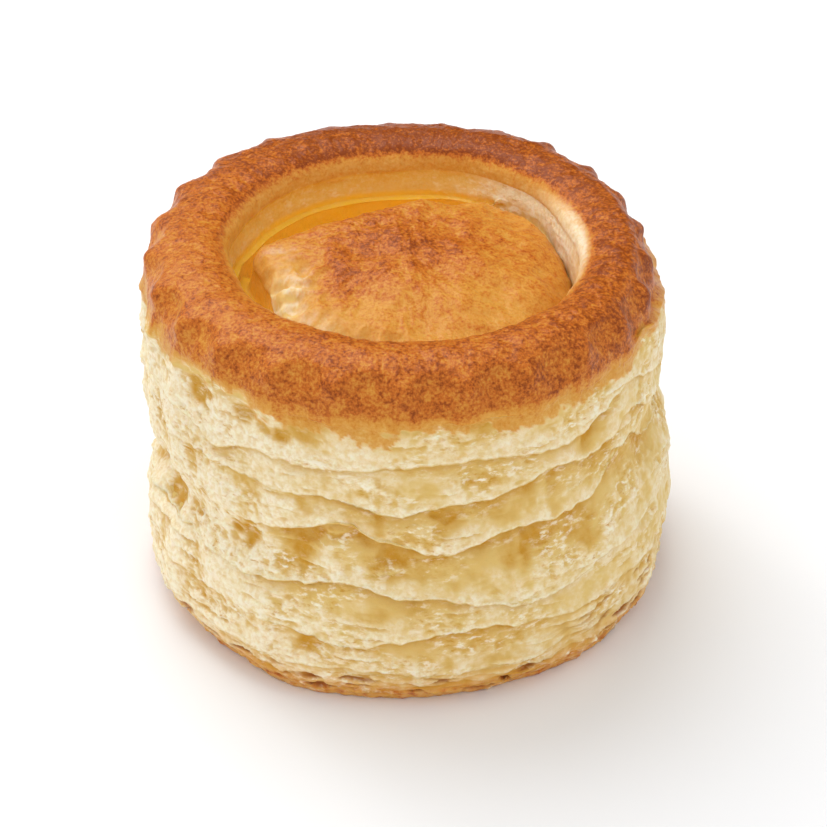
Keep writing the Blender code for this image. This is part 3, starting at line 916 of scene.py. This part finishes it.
@dataclass(frozen=True)
class BakedDough:
    """Laminated dough, egg-washed on top and baked.

    The wash leaves a satin glaze over browned, finely speckled skin. The sides are dry,
    pale and flaking, a little see-through at the leaves, and ochre in the folds. The pale
    flake colour is partly the dough's own and partly painted light on crests and lit sides;
    the ochre fold colour is partly the dough's own and partly painted shade in creases and
    hollows. The gap is yellow with butter.
    The first six colours run from the palest dough to the darkest crust.
    """

    crumb: str = "#E4C376"
    straw: str = "#E6BC70"
    gold: str = "#DFA54E"
    amber: str = "#D8953A"
    brown: str = "#C66B20"
    dark: str = "#8C400D"
    # Palest flakes, also laid on crests and lit sides as painted light.
    flake: str = "#FDF2D8"
    # Ochre of folded dough, also laid into creases and hollows as painted shade.
    fold: str = "#CC921F"
    butter: str = "#FAC43A"
    crack: str = "#A0541A"
    roughness_wall: float = 0.6
    roughness_crust: float = 0.32
    roughness_butter: float = 0.11
    # Baked fat and egg wash bend light about as oil does.
    ior: float = 1.45
    specular: float = 0.20
    # The real speckle and flecks are about 0.2 mm, too fine to show, so they are coarser here.
    speckle_mm: float = 0.5
    fleck_mm: float = 0.8
    # Patches of butter, and chips of torn sheet that lie flat, at their real size.
    ooze_mm: float = 2.2
    chip_mm: float = 1.8
    chip_flatness: float = 2.2
    # Height of the grain, and how deep light goes into the dough.
    bump_mm: float = 0.18
    depth_mm: float = 1.8

    def make(self) -> bpy.types.Material:
        """Build the procedural material.

        Returns:
            The finished material.
        """
        material = bpy.data.materials.new("egg_washed_puff_pastry")
        material.use_nodes = True
        tree = material.node_tree
        tree.nodes.clear()
        place = add_node(tree, "ShaderNodeTexCoord").outputs["Object"]
        bake, browned, flakes_and_painted_light, fold_ochre_and_shade, butter, crack, torn = (
            add_node(tree, "ShaderNodeAttribute", attribute_name=name).outputs["Fac"]
            for name in SkinDress.NAMES)
        grains = []
        for size, detail, flatness in ((self.speckle_mm, 3.0, 1.0), (self.fleck_mm, 4.0, 1.0),
                                       (self.ooze_mm, 5.0, 1.0),
                                       (self.chip_mm, 4.0, self.chip_flatness)):
            flat = add_node(tree, "ShaderNodeVectorMath", {0: place, 1: (1.0, 1.0, flatness)},
                            operation="MULTIPLY")
            grains.append(add_node(tree, "ShaderNodeTexNoise", {
                "Vector": flat.outputs["Vector"], "Scale": 1.0 / (size * MM), "Detail": detail,
                "Roughness": 0.62}).outputs["Fac"])
        speckle, fleck, ooze, chip = grains

        # Speckle swings the bake about its mean, fully on the crust and hardly on the wall.
        swing = add_node(tree, "ShaderNodeMapRange", {
            "Value": speckle, "From Min": 0.3, "From Max": 0.7, "To Min": -0.17, "To Max": 0.17})
        level = add_node(tree, "ShaderNodeMath", {
            0: swing.outputs["Result"], 1: browned, 2: bake}, operation="MULTIPLY_ADD")
        ramp = add_node(tree, "ShaderNodeValToRGB", {"Fac": level.outputs[0]})
        stops = ((0.0, self.crumb), (0.2, self.straw), (0.4, self.gold), (0.62, self.amber),
                 (0.82, self.brown), (1.0, self.dark))
        bar = ramp.color_ramp.elements
        while len(bar) < len(stops):
            bar.new(0.5)
        for stop, (at, colour) in zip(bar, stops):
            stop.position = at
            stop.color = linear(colour)

        # Each layer of colour is its own share, broken up by one of the noises. The first flake and
        # fold layers also carry painted light and painted shade; the torn chips are the dough's own
        # colour.
        skin = ramp.outputs["Color"]
        for share, colour, grain, low, high, least in (
                (flakes_and_painted_light, self.flake, fleck, 0.36, 0.62, 0.5),
                (fold_ochre_and_shade, self.fold, ooze, 0.36, 0.62, 0.7),
                (torn, self.fold, chip, 0.46, 0.24, 0.0), (torn, self.flake, chip, 0.50, 0.68, 0.0),
                (butter, self.butter, ooze, 0.36, 0.62, 0.9),
                (crack, self.crack, fleck, 0.36, 0.62, 0.85)):
            broken = add_node(tree, "ShaderNodeMapRange", {
                "Value": grain, "From Min": low, "From Max": high, "To Min": least,
                "To Max": 1.0}, interpolation_type="SMOOTHSTEP")
            part = add_node(tree, "ShaderNodeMath", {
                0: broken.outputs["Result"], 1: share}, operation="MULTIPLY", use_clamp=True)
            skin = add_node(tree, "ShaderNodeMix", {
                0: part.outputs[0], 6: skin, 7: linear(colour)}, data_type="RGBA").outputs[2]

        rough = self.roughness_wall
        for share, value in ((browned, self.roughness_crust), (butter, self.roughness_butter)):
            rough = add_node(tree, "ShaderNodeMix", {0: share, 2: rough, 3: value}).outputs[0]
        heights = add_node(tree, "ShaderNodeMath", {0: speckle, 1: fleck}, operation="ADD")
        heights = add_node(tree, "ShaderNodeMath", {0: chip, 1: torn, 2: heights.outputs[0]},
                           operation="MULTIPLY_ADD")
        bump = add_node(tree, "ShaderNodeBump", {
            "Strength": 0.65, "Distance": self.bump_mm * MM, "Height": heights.outputs[0]})
        shader = add_node(tree, "ShaderNodeBsdfPrincipled", {
            "Base Color": skin, "Roughness": rough, "IOR": self.ior,
            "Specular IOR Level": self.specular, "Normal": bump.outputs["Normal"],
            "Subsurface Weight": 0.3, "Subsurface Radius": (1.0, 0.62, 0.26),
            "Subsurface Scale": self.depth_mm * MM})
        add_node(tree, "ShaderNodeOutputMaterial", {"Surface": shader.outputs["BSDF"]})
        return material


@dataclass
class SkinDress:
    """Works out the relief of the skin and the shares of colour that go with it.

    A side tells where round the case something is strongest, and how strong it is there.
    """

    NAMES: ClassVar[tuple[str, ...]] = (
        "bake", "browned", "flakes_and_painted_light", "fold_ochre_and_shade", "butter", "crack", "torn")

    shape: CaseShape
    bands: list[Band]
    string_side: Side = (210.0, 34.0, 1.0)
    torn_side: Side = (215.0, 30.0, 0.5)
    dent_side: Side = (212.0, 24.0, 0.9)
    pit_side: Side = (325.0, 18.0, 0.8)
    slit_side: Side = (328.0, 16.0, 1.0)
    slit_size: tuple[float, float, float] = (4.6, 4.6, 0.95)
    slit_depth: float = 0.75
    crust_above_lip: float = -2.0
    crust_edge: tuple[Side, ...] = ((212.0, 25.0, 2.4), (252.0, 14.0, -0.7))
    crust_ragged: float = 1.9
    crust_ragged_side: Side = (235.0, 35.0, 1.8)
    crust_fade: float = 4.0
    crust_bottom: float = 47.0
    # The left side is paler, partly in the dough's own tone and partly as painted light from the lamps
    # on that side.
    left_pale_and_painted_light_side: Side = (206.0, 42.0, 0.76)
    # The right inner wall and the ring's edge there are paler, partly in their own tone and partly as
    # painted light.
    gap_pale_and_painted_light_side: Side = (30.0, 40.0, 1.0)
    edge_pale_and_painted_light_side: Side = (4.0, 28.0, 0.85)
    edge_pale_and_painted_light_radius: float = 28.5
    foot_top: float = 6.5

    def __post_init__(self) -> None:
        """Join the bands into one run of rings."""
        self.radius, self.height, self.bake, self.recess, self.butter, self.shade = (
            np.concatenate([getattr(band, name) + 0.0 * band.radius for band in self.bands])
            for name in ("radius", "height", "bake", "recess", "butter", "shade"))
        self.torn = self.slits = np.zeros_like(self.radius)
        self.zones = [band.zone for band in self.bands for _ in band.radius]

    def among(self, *zones: Zone) -> Grid:
        """Give 1 for the rings of some zones, 0 for the rest."""
        return np.array([[1.0 if zone in zones else 0.0] for zone in self.zones])

    def thin_sheets(self, places: Grid) -> tuple[Grid, Grid]:
        """Stack thin sheets in patches of the wall, finer at the foot.

        Args:
            places: every point of the plain skin, rings by columns by three.

        Returns:
            How far each point stands out, and how deep it lies under a thin sheet.
        """
        noise = self.shape.noise
        low = self.among(Zone.BASE) + self.among(Zone.WALL) * ease((9.0 - self.height) / 3.0)
        patches = ease(0.4 + 1.3 * noise.at(places + 120.0, (10.0, 10.0, 6.0)))
        patches = np.maximum(patches, ease((low - 0.3) / 0.4))
        wide, under_wide = noise.laminations(places, 2.3)
        fine, under_fine = noise.laminations(places + 210.0, 1.0)
        out = (0.85 * wide * (1.0 - low) + 0.5 * fine * (0.2 + 0.8 * low)) * patches
        return out, np.maximum(under_wide * (1.0 - low), under_fine * (0.2 + 0.8 * low)) * patches

    def torn_dough(self, places: Grid) -> tuple[Grid, Grid]:
        """Draw strings across the open pockets and webs over uneven patches.

        Args:
            places: every point of the plain skin, rings by columns by three.

        Returns:
            How far the strings and the webs stand out.
        """
        bearing, noise = self.shape.bearing, self.shape.noise
        pocket = ease((self.recess - 0.5) / 0.6) * ease((1.9 - self.recess) / 0.8)
        left = swells(bearing, self.string_side) * ease((self.height - 12.0) / 10.0)
        slant = places + 1.8 * noise.at(places + 85.0, 6.0)[..., None]
        ridge = 0.42 - np.abs(noise.at(slant + 40.0, (2.6, 2.6, 6.5))) * 2.2
        strings = np.clip(ridge, 0.0, 1.0) * np.maximum(pocket, left)
        self.torn = ease(0.45 + 1.1 * noise.at(places + 160.0, (8.0, 8.0, 5.0)))
        self.torn = np.maximum(self.torn, swells(bearing, self.torn_side))
        veins = 0.40 - np.abs(noise.rough(slant + 240.0, 2.6, 3)) * 1.5
        return strings, np.clip(veins, -0.7, 0.4) * self.torn

    def hollows(self, places: Grid) -> Grid:
        """Tear hollows with uneven edges into the wall.

        Args:
            places: every point of the plain skin, rings by columns by three.

        Returns:
            How deep they are at each point.
        """
        noise = self.shape.noise
        across = self.shape.bearing + 3.5 * noise.rough(places + 330.0, 3.6, 2)
        along = self.height + 1.1 * noise.rough(places + 360.0, 3.2, 2)
        depth = sum(deep * swell(across, centre, spread) * np.exp(-((along - level) / reach) ** 2)
                    for centre, level, spread, reach, deep in HOLLOWS)
        return depth * self.among(Zone.WALL, Zone.HIDDEN)

    def open_slits(self, places: Grid) -> Grid:
        """Open short slits between the lowest sheets, and higher up at the right.

        Args:
            places: every point of the plain skin, rings by columns by three.

        Returns:
            1 in a slit, 0 outside.
        """
        bearing, noise = self.shape.bearing, self.shape.noise
        foot = np.maximum(ease((self.foot_top - self.height) / 2.5),
                          swells(bearing, self.slit_side) * ease((15.0 - self.height) / 4.0))
        foot = foot * ease(0.5 + 1.7 * noise.at(places + 700.0, (7.0, 7.0, 4.0)))
        bent = places + 1.1 * noise.at(places + 430.0, (9.0, 9.0, 6.0))[..., None]
        slits = ease((noise.at(bent + 410.0, self.slit_size) - 0.12) / 0.16)
        return slits * foot * self.among(Zone.WALL, Zone.BASE) * ease((self.height - 0.6) / 0.5)

    def dents(self, places: Grid) -> Grid:
        """Press small dents under the rim at the left and near the foot at the right.

        Args:
            places: every point of the plain skin, rings by columns by three.

        Returns:
            0 outside a dent, and more in one where they are strongest.
        """
        bearing = self.shape.bearing
        dents = ease((self.shape.noise.at(places + 55.0, (2.6, 2.6, 1.7)) - 0.38) / 0.45)
        rim = swells(bearing, self.dent_side) * ease((self.height - 42.0) / 4.0)
        foot = swells(bearing, self.pit_side) * ease((16.0 - self.height) / 5.0)
        return dents * (0.25 + rim + foot)

    def rise(self, places: Grid) -> tuple[Grid, Grid]:
        """Work out the skin's own relief.

        Args:
            places: every point of the plain skin, rings by columns by three.

        Returns:
            How far each point stands out, and how deep it lies under a thin sheet.
        """
        noise = self.shape.noise
        depth = {name: np.array([[getattr(RELIEFS[zone], name)] for zone in self.zones])
                 for name in (part.name for part in fields(Relief))}
        sheets, under = self.thin_sheets(places)
        strings, webs = self.torn_dough(places)
        hollows = self.hollows(places)
        self.slits = self.open_slits(places)

        # Where the crust thins out below the ring, it is as torn as the wall.
        outside = np.hypot(places[..., 0], places[..., 1]) > self.shape.ring.crown_edge
        bare = self.among(Zone.CROWN) * outside * (1.0 - self.skirt(places))
        for name, value in depth.items():
            depth[name] = value + bare * getattr(RELIEFS[Zone.WALL], name)
        rise = (depth["lumps"] * noise.at(places, 7.5)
                + depth["blisters"] * noise.rough(places + 70.0, 2.6, 2)
                + depth["grain"] * noise.rough(places + 10.0, 0.95, 2)
                + depth["sheets"] * (sheets - 0.35) + depth["strings"] * strings
                + depth["webs"] * webs - hollows - self.slit_depth * self.slits
                - depth["pits"] * self.dents(places))
        calm = np.clip(1.0 - 0.45 * self.recess, 0.15, 1.0) * ease(self.height / 0.4)
        self.torn = self.torn * (depth["webs"] > 0.0)
        return rise * calm, np.maximum(under * (depth["sheets"] > 0.0), hollows)

    def skirt(self, places: Grid) -> Grid:
        """Find the browned edge of the ring, which ends in ragged tongues.

        Args:
            places: points of the skin, rings by columns by three.

        Returns:
            How far up the edge each point is, from 0 to 1.
        """
        noise, bearing = self.shape.noise, self.shape.bearing
        edge = self.shape.wall.lips[0] + self.crust_above_lip + swells(bearing, *self.crust_edge)
        ragged = self.crust_ragged + swells(bearing, self.crust_ragged_side)
        tongues = ragged * noise.rough(places + 300.0, 4.6, 3) + noise.rough(places + 380.0, 1.2, 2)
        up = (places[..., 2] - edge + tongues) / self.crust_fade
        return 0.62 * ease(up / 0.12) + 0.38 * ease(up)

    def lay(self) -> tuple[Grid, dict[str, Grid]]:
        """Raise the relief and share out the colours.

        Returns:
            Places in millimetres, and the shares of colour by name, as rings by columns.
        """
        turn = self.shape.turn
        places = np.stack([self.radius * np.cos(turn), self.radius * np.sin(turn),
                           self.height], axis=-1)
        soft = soften(places, 3)
        along = np.roll(soft, -1, axis=1) - np.roll(soft, 1, axis=1)
        normal = np.cross(np.gradient(soft, axis=0), along)
        normal /= np.maximum(np.linalg.norm(normal, axis=-1, keepdims=True), 1e-9)

        # Both sides of a parting are raised the same way, so that they stay shut.
        outward = np.stack([np.cos(turn), np.sin(turn), 0.0 * turn], axis=-1)
        parting = ease(soften(self.among(Zone.HIDDEN), 24) * 4.0)[..., None]
        normal = normal * (1.0 - parting) + outward * parting
        rise, under = self.rise(places)
        places = places + normal * rise[..., None]
        return places, self.colours(places, normal, under)

    def crust_bake(self, places: Grid) -> Grid:
        """Brown the ring down to its ragged edge, and leave the wall below it pale.

        Args:
            places: every point of the finished skin.

        Returns:
            The bake at every point.
        """
        height = places[..., 2]
        outer = self.among(Zone.CROWN, Zone.WALL)
        outer = outer * ease((np.hypot(places[..., 0], places[..., 1]) - 35.0) / 2.0)
        skirt = 1.0 - outer * (1.0 - self.skirt(places))
        top = np.maximum(self.bake, 0.62 * outer * ease((height - self.crust_bottom) / 1.0))
        near = (outer > 0.0) & (height >= self.crust_bottom + 1.0)
        return np.where(near, top * skirt + 0.03 * (1.0 - skirt), self.bake)

    def colours(self, places: Grid, normal: Grid, under: Grid) -> dict[str, Grid]:
        """Share out the colours by how each point stands to what is round it.

        Args:
            places: every point of the finished skin.
            normal: which way the skin faces there.
            under: how deep each point lies under a thin sheet.

        Returns:
            The shares of colour by name, each from 0 to 1.
        """
        noise, height, bearing = self.shape.noise, places[..., 2], self.shape.bearing
        near = soften(places, 10)
        wide = soften(near, 90)
        crest = np.clip(((places - near) * normal).sum(axis=-1) / 0.10, -1.0, 1.0)
        swelling = np.clip(((near - wide) * normal).sum(axis=-1) / 0.38, -1.0, 1.0)
        blotch = noise.rough(places + 500.0, 5.5, 2)
        patch = noise.rough(places + 540.0, 1.5, 2)
        pale = self.among(Zone.WALL, Zone.BASE)
        gap = self.among(Zone.GAP)
        low = ease((self.foot_top - height) / 4.5) * pale

        bake = self.crust_bake(places)
        browned = ease((bake - 0.08) / 0.4)
        bake = bake + browned * (0.05 * blotch + 0.11 * patch)
        bake = bake + 0.04 * crest * self.among(Zone.CENTRE, Zone.CROWN)
        bake = bake + low * (0.46 + 0.28 * patch)
        browned = np.maximum(browned, low * ease(0.50 + 0.35 * patch))

        # The pale flake share is raised on crests, on the left side and on the right inner wall,
        # partly as painted light; the ochre fold share fills recesses, creases and the undersides of
        # thin sheets, partly as painted shade.
        pale_and_painted_light = gap * swells(bearing, self.gap_pale_and_painted_light_side) * ease((height - self.crust_bottom) / 2.0)
        flakes_and_painted_light = 0.02 + swells(bearing, self.left_pale_and_painted_light_side) + 0.34 * crest + 0.45 * swelling
        flakes_and_painted_light = np.clip(flakes_and_painted_light + 0.14 * blotch + 1.1 * pale_and_painted_light, 0.0, 0.9) * (pale + gap)
        flakes_and_painted_light = flakes_and_painted_light * (1.0 - 0.85 * low) * (1.0 - ease((self.recess - 0.1) / 0.5))
        ooze = 0.30 * noise.rough(places + 620.0, 8.0, 2)
        fold_ochre_and_shade = 0.10 + self.recess / 2.2 - 0.26 * crest - 0.50 * swelling + ooze + 0.5 * under
        fold_ochre_and_shade = np.clip(np.maximum(fold_ochre_and_shade, 0.95 * self.shade), 0.0, 0.95) * (pale + 0.2 * pale_and_painted_light)
        flakes_and_painted_light = flakes_and_painted_light * (1.0 - browned) * (1.0 - 0.7 * fold_ochre_and_shade) * (1.0 - self.shade)

        # Pale folds with painted highlights lie on the torn corner of the centre, and pale dough with
        # painted light along the ring's inner edge at the right.
        pale_folds_and_highlights = mounds(places[..., 0], places[..., 1], *self.shape.centre.dome_pale_folds_and_highlights)
        pale_folds_and_highlights = pale_folds_and_highlights * ease(0.45 + 1.1 * patch) * self.among(Zone.CENTRE)
        inner = ease((self.edge_pale_and_painted_light_radius - np.hypot(places[..., 0], places[..., 1])) / 1.3)
        edge_pale_and_painted_light = inner * self.among(Zone.CROWN) * swells(bearing, self.edge_pale_and_painted_light_side)

        creases = ease((self.recess - 0.3) / 0.3) * ease((6.0 - height) / 3.0) * pale
        creases = creases * ease(0.2 + 1.9 * noise.at(places + 700.0, (4.0, 4.0, 2.0)))
        shares = {"bake": bake, "browned": browned, "flakes_and_painted_light": flakes_and_painted_light + pale_folds_and_highlights + edge_pale_and_painted_light,
                  "fold_ochre_and_shade": fold_ochre_and_shade * (1.0 - 0.8 * browned), "butter": self.butter,
                  "crack": np.maximum(self.slits, creases),
                  "torn": self.torn * (1.0 - browned) * (1.0 - 0.8 * self.shade)}
        return {name: np.clip(value, 0.0, 1.0) for name, value in shares.items()}


def closed_mesh(name: str, places: Grid, shares: dict[str, Grid]) -> bpy.types.Mesh:
    """Make a closed mesh of rings with a pole at each end.

    Args:
        name: the mesh's name.
        places: rings by columns by three, in millimetres.
        shares: values for every point, by attribute name.

    Returns:
        The mesh, in metres.
    """
    rings, columns = places.shape[:2]
    poles = [[0.0, 0.0, float(places[ring, :, 2].mean())] for ring in (0, -1)]
    points = np.concatenate([places.reshape(-1, 3), poles]) * MM
    box = np.array([list(corner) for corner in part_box(NODE)])
    points = np.clip(points, box[0], box[1])
    index = np.arange(rings * columns).reshape(rings, columns)
    beside = np.roll(index, -1, axis=1)
    quads = np.stack([index[:-1], index[1:], beside[1:], beside[:-1]], axis=-1).reshape(-1, 4)
    top_pole, foot_pole = rings * columns, rings * columns + 1
    fans = [(top_pole, int(a), int(b)) for a, b in zip(index[0], beside[0])]
    fans += [(foot_pole, int(b), int(a)) for a, b in zip(index[-1], beside[-1])]
    mesh = bpy.data.meshes.new(name)
    mesh.from_pydata(points, [], quads.tolist() + fans)
    mesh.shade_smooth()
    for share, values in shares.items():
        layer = mesh.attributes.new(share, "FLOAT", "POINT")
        ends = [values[0].mean(), values[-1].mean()]
        layer.data.foreach_set("value", np.concatenate([values.reshape(-1), ends]).astype(np.float32))
    return mesh


@dataclass
class PastryCase:
    """The baked case, in closed slices."""

    shape: CaseShape
    finish: BakedDough

    def place(self, name: str, mesh: bpy.types.Mesh, material: bpy.types.Material
              ) -> bpy.types.Object:
        """Set a mesh in the scene on the root body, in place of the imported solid.

        Args:
            name: the piece's name.
            mesh: its mesh.
            material: its finish.

        Returns:
            The piece.
        """
        mesh.materials.append(material)
        piece = bpy.data.objects.new(name, mesh)
        bpy.context.scene.collection.objects.link(piece)
        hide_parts(NODE)
        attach(piece, "root")
        return piece

    def build(self) -> list[bpy.types.Object]:
        """Make and dress the slices.

        Returns:
            The pieces of the case.
        """
        material = self.finish.make()
        pieces = []
        for part in SLICES:
            places, shares = SkinDress(self.shape, self.shape.bands(part)).lay()
            mesh = closed_mesh(part.name, places, shares)
            pieces.append(self.place(part.name, mesh, material))
        return pieces


@dataclass
class Studio:
    """White sweep, lamps over the back left, soft light all round, and the camera.

    Each lamp is (place, width, power): a broad one for the soft shadow, and a small bare
    one beside it for the glints on the glaze. The room is dim behind the lamps, so that
    the crust isn't veiled by its own reflection.
    """

    floor_size: float = 6.0
    floor_colour: str = "#F9FAFC"
    sky: float = 0.90
    dim_sky: float = 0.0
    dim_way: tuple[float, float, float] = (0.0, 0.83, 0.55)
    lamps: tuple[tuple[tuple[float, float, float], float, float], ...] = (
        ((-0.22, 0.46, 0.88), 0.80, 6.1), ((-0.52, 0.60, 0.60), 0.20, 0.7))
    lamp_target: tuple[float, float, float] = (0.0, 0.0, 0.03)
    elevation: float = 34.25
    distance: float = 450.0
    aim_height: float = 28.0
    pixels_per_radian: float = 2784.0
    frame_pixels: float = 827.0
    offset_pixels: tuple[float, float] = (-5.4, -8.1)
    sensor: float = 36.0

    def floor(self) -> bpy.types.Object:
        """Lay a plain white floor under the case.

        Returns:
            The floor.
        """
        mesh = bpy.data.meshes.new("studio_floor")
        half = self.floor_size / 2.0
        corners = [(-half, -half, 0.0), (half, -half, 0.0), (half, half, 0.0), (-half, half, 0.0)]
        mesh.from_pydata(corners, [], [(0, 1, 2, 3)])
        material = bpy.data.materials.new("matt_white_paper")
        material.use_nodes = True
        shader = material.node_tree.nodes["Principled BSDF"]
        shader.inputs["Base Color"].default_value = linear(self.floor_colour)
        shader.inputs["Roughness"].default_value = 0.8
        shader.inputs["Specular IOR Level"].default_value = 0.1
        mesh.materials.append(material)
        floor = bpy.data.objects.new("studio_floor", mesh)
        bpy.context.scene.collection.objects.link(floor)
        return floor

    def lights(self) -> None:
        """Hang the lamps and set the even light of the room."""
        world = bpy.data.worlds.new("white_room")
        world.use_nodes = True
        tree = world.node_tree
        tree.nodes.clear()
        way = add_node(tree, "ShaderNodeTexCoord").outputs["Generated"]
        behind = add_node(tree, "ShaderNodeVectorMath", {0: way, 1: self.dim_way},
                          operation="DOT_PRODUCT")
        strength = add_node(tree, "ShaderNodeMapRange", {
            "Value": behind.outputs["Value"], "From Min": 0.55, "From Max": 0.95,
            "To Min": self.sky, "To Max": self.dim_sky}, interpolation_type="SMOOTHSTEP")
        light = add_node(tree, "ShaderNodeBackground", {
            "Color": (1.0, 1.0, 1.0, 1.0), "Strength": strength.outputs["Result"]})
        add_node(tree, "ShaderNodeOutputWorld", {"Surface": light.outputs["Background"]})
        bpy.context.scene.world = world
        for stand, width, power in self.lamps:
            lamp = bpy.data.lights.new("soft_lamp", "AREA")
            lamp.shape = "DISK"
            lamp.size = width
            lamp.energy = power
            holder = bpy.data.objects.new("soft_lamp", lamp)
            bpy.context.scene.collection.objects.link(holder)
            aim_at(holder, stand, self.lamp_target)

    def camera(self) -> None:
        """Set the camera where the photo was taken from."""
        lens = bpy.data.cameras.new("camera")
        lens.sensor_width = self.sensor
        lens.lens = self.pixels_per_radian / self.frame_pixels * self.sensor
        lens.shift_x = -self.offset_pixels[0] / self.frame_pixels
        lens.shift_y = self.offset_pixels[1] / self.frame_pixels
        lens.clip_start = 0.01
        holder = bpy.data.objects.new("camera", lens)
        bpy.context.scene.collection.objects.link(holder)
        tilt = math.radians(self.elevation)
        target = (0.0, 0.0, self.aim_height * MM)
        stand = (0.0, -self.distance * MM * math.cos(tilt),
                 (self.aim_height + self.distance * math.sin(tilt)) * MM)
        aim_at(holder, stand, target)
        bpy.context.scene.camera = holder


def aim_at(holder: bpy.types.Object, stand: tuple, target: tuple) -> None:
    """Put a lamp or camera at a place, facing a target.

    Args:
        holder: the object to place.
        stand: where it stands, in metres.
        target: what it faces, in metres.
    """
    holder.location = stand
    way = Vector(target) - Vector(stand)
    holder.rotation_euler = way.to_track_quat("-Z", "Y").to_euler()


def main() -> None:
    """Build the case and its studio."""
    logging.basicConfig(level=logging.INFO, format="%(message)s")
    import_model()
    scene = bpy.context.scene
    scene.view_settings.view_transform = "Standard"
    studio = Studio()
    studio.camera()
    studio.lights()
    LOG.info("%s laid", studio.floor().name)
    for piece in PastryCase(CaseShape(), BakedDough()).build():
        LOG.info("%s: %d faces", piece.name, len(piece.data.polygons))


if __name__ == "__main__":
    main()
